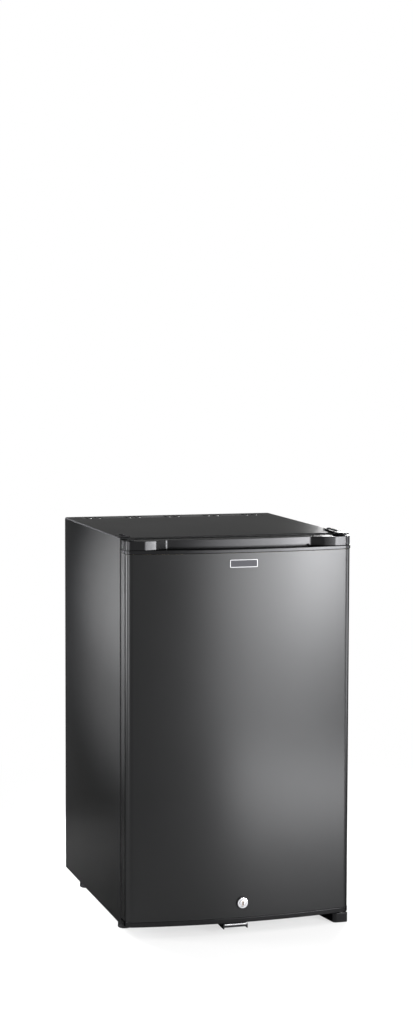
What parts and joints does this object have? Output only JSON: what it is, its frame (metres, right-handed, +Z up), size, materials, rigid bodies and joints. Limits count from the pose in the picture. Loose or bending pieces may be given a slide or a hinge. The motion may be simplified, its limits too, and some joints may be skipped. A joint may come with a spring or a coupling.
{
  "type": "minibar fridge",
  "caption": "Free-standing absorption minibar fridge: painted steel cabinet, bowed lockable door with a scooped top grip, racks, wire shelves and a rear cooling unit.",
  "frame": {"origin": "on the floor under the middle of the whole fridge", "axes": "+Z up, the door faces -Y and its hinges are on the +X side"},
  "size_m": [0.404, 0.4872, 0.6878],
  "materials": {
    "painted_steel": "satin charcoal paint",
    "charcoal_plastic": "satin charcoal moulding",
    "black_plastic": "fine grain",
    "white_plastic": "smooth vacuum-formed",
    "clear_plastic": "clear, slightly frosted",
    "gasket_rubber": "soft matt",
    "foam": "foamed in place",
    "bright_steel": "zinc plated",
    "chrome": "polished",
    "zinc_sheet": "galvanised sheet",
    "black_steel": "black stove paint",
    "aluminium": "extruded, anodised",
    "white_wire": "white coated wire"
  },
  "bodies": {
    "cabinet": {"cabinet_wrap": "painted_steel", "rear_vent_strip": "charcoal_plastic", "bottom_panel": "zinc_sheet", "back_panel": "zinc_sheet", "insulation_foam": "foam", "inner_liner": "white_plastic", "foot_front_left": "black_plastic", "foot_rear_left": "black_plastic", "foot_rear_right": "black_plastic", "hinge_foot_block": "charcoal_plastic", "lower_hinge_plate": "bright_steel", "lower_hinge_pin": "bright_steel", "upper_hinge_plate": "black_steel", "upper_hinge_pin": "bright_steel", "hinge_hole_cover": "black_plastic", "lock_catch_bracket": "black_steel", "evaporator": "aluminium", "drip_tray": "white_plastic", "drain_tube": "black_plastic", "drain_cup": "black_plastic", "control_housing": "white_plastic", "lamp_lens": "clear_plastic", "boiler_casing": "zinc_sheet", "condenser": "black_steel", "absorber_coil": "black_steel", "solution_vessel": "black_steel", "heat_exchanger": "black_steel", "unit_strap_left": "zinc_sheet", "unit_strap_right": "zinc_sheet", "terminal_box": "black_plastic", "cord_gland": "black_plastic", "heater_lead": "black_plastic"},
    "door": {"door_skin": "painted_steel", "door_foam": "foam", "door_top_band": "charcoal_plastic", "door_grip_cap": "charcoal_plastic", "door_bottom_cap": "charcoal_plastic", "door_liner": "white_plastic", "door_gasket": "gasket_rubber", "lower_bush_left": "black_plastic", "lower_bush_right": "black_plastic", "upper_bush_left": "black_plastic", "upper_bush_right": "black_plastic", "lock_bezel": "black_plastic", "lock_barrel": "chrome", "lock_nut": "bright_steel"},
    "lock_core": {"lock_plug": "chrome", "lock_cam": "bright_steel"},
    "lower_door_rack": {"lower_rack": "clear_plastic"},
    "upper_door_rack": {"upper_rack": "clear_plastic"},
    "lower_wire_shelf": {"lower_shelf": "white_wire"},
    "upper_wire_shelf": {"upper_shelf": "white_wire"},
    "thermostat": {"thermostat_knob": "white_plastic"}
  },
  "joints": [
    {"name": "door_hinge", "type": "hinge", "parent": "cabinet", "child": "door", "pos_m": [0.19, -0.2074, 0.016], "axis": [0, 0, 1], "range_deg": [0, 110]},
    {"name": "lock_turn", "type": "hinge", "parent": "door", "child": "lock_core", "pos_m": [0, -0.2394, 0.0544], "axis": [0, -1, 0], "range_deg": [0, 90]},
    {"name": "lower_rack_lift", "type": "slide", "parent": "door", "child": "lower_door_rack", "axis": [0, 0, 1], "range_m": [0, 0.012]},
    {"name": "upper_rack_lift", "type": "slide", "parent": "door", "child": "upper_door_rack", "axis": [0, 0, 1], "range_m": [0, 0.012]},
    {"name": "lower_shelf_slide", "type": "slide", "parent": "cabinet", "child": "lower_wire_shelf", "axis": [0, -1, 0], "range_m": [0, 0.068]},
    {"name": "upper_shelf_slide", "type": "slide", "parent": "cabinet", "child": "upper_wire_shelf", "axis": [0, -1, 0], "range_m": [0, 0.068]},
    {"name": "thermostat_turn", "type": "hinge", "parent": "cabinet", "child": "thermostat", "pos_m": [0.098, -0.1347, 0.6245], "axis": [0, -1, 0], "range_deg": [-270, 0]}
  ]
}
